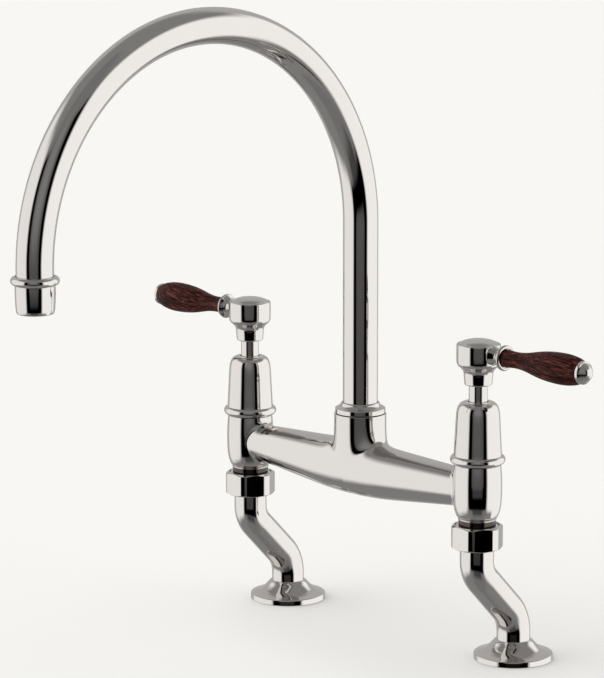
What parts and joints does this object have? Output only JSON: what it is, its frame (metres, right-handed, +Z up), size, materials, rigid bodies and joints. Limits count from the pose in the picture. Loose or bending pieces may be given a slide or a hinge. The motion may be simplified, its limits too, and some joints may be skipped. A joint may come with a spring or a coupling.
{
  "type": "bridge kitchen faucet",
  "caption": "Bridge kitchen faucet with a swan-neck swivel spout, lever handles with turned wood grips, and cranked inlet legs on round deck flanges.",
  "frame": {"origin": "on the deck, level with the undersides of the foot flanges, under the spout's swivel axis", "axes": "+Z up along the spout's swivel axis, +X along the bridge to the cold valve, -Y towards the spout's outlet"},
  "size_m": [0.3856, 0.3334, 0.4076],
  "materials": {
    "nickel": "polished nickel plate on brass",
    "brass": "machined, as cut",
    "steel": "stainless, as turned",
    "rosewood": "turned, satin lacquer",
    "ceramic": "lapped",
    "rubber": "moulded, matte",
    "fibre": "pressed red fibre",
    "acetal": "moulded"
  },
  "bodies": {
    "bridge": {"bridge_body": "nickel", "spout_collar": "nickel", "spout_bush": "acetal", "hot_valve_body": "nickel", "hot_seat_seal": "rubber", "hot_fixed_disc": "ceramic", "hot_headwork": "brass", "hot_shroud": "nickel", "hot_union_nut": "nickel", "hot_union_washer": "fibre", "cold_valve_body": "nickel", "cold_seat_seal": "rubber", "cold_fixed_disc": "ceramic", "cold_headwork": "brass", "cold_shroud": "nickel", "cold_union_nut": "nickel", "cold_union_washer": "fibre"},
    "spout": {"spout_tube": "nickel", "spout_spigot": "brass", "lower_spout_o_ring": "rubber", "upper_spout_o_ring": "rubber", "spout_retaining_ring": "acetal", "spout_outlet": "nickel", "aerator_housing": "brass", "aerator_insert": "acetal", "aerator_washer": "rubber"},
    "hot_lever": {"hot_moving_disc": "ceramic", "hot_spindle": "brass", "hot_spindle_o_ring": "rubber", "hot_circlip": "steel", "hot_lever_stem": "nickel", "hot_lever_hub": "nickel", "hot_hub_screw": "steel", "hot_hub_cap": "nickel", "hot_lever_arm": "nickel", "hot_tie_rod": "steel", "hot_grip": "rosewood", "hot_end_cap": "nickel"},
    "hot_leg_set": {"hot_leg": "nickel", "hot_foot_flange": "nickel", "hot_deck_seal": "rubber"},
    "cold_lever": {"cold_moving_disc": "ceramic", "cold_spindle": "brass", "cold_spindle_o_ring": "rubber", "cold_circlip": "steel", "cold_lever_stem": "nickel", "cold_lever_hub": "nickel", "cold_hub_screw": "steel", "cold_hub_cap": "nickel", "cold_lever_arm": "nickel", "cold_tie_rod": "steel", "cold_grip": "rosewood", "cold_end_cap": "nickel"},
    "cold_leg_set": {"cold_leg": "nickel", "cold_foot_flange": "nickel", "cold_deck_seal": "rubber"}
  },
  "joints": [
    {"name": "spout_swivel", "type": "hinge", "parent": "bridge", "child": "spout", "pos_m": [0, 0, 0.13], "axis": [0, 0, 1], "continuous": true},
    {"name": "hot_lever_turn", "type": "hinge", "parent": "bridge", "child": "hot_lever", "pos_m": [-0.1016, 0, 0.17], "axis": [0, 0, 1], "range_deg": [0, 90]},
    {"name": "cold_lever_turn", "type": "hinge", "parent": "bridge", "child": "cold_lever", "pos_m": [0.1016, 0, 0.17], "axis": [0, 0, 1], "range_deg": [-90, 0]},
    {"name": "hot_leg_swivel", "type": "hinge", "parent": "bridge", "child": "hot_leg_set", "pos_m": [-0.1016, 0, 0.08], "axis": [0, 0, 1], "continuous": true},
    {"name": "cold_leg_swivel", "type": "hinge", "parent": "bridge", "child": "cold_leg_set", "pos_m": [0.1016, 0, 0.08], "axis": [0, 0, 1], "continuous": true}
  ]
}
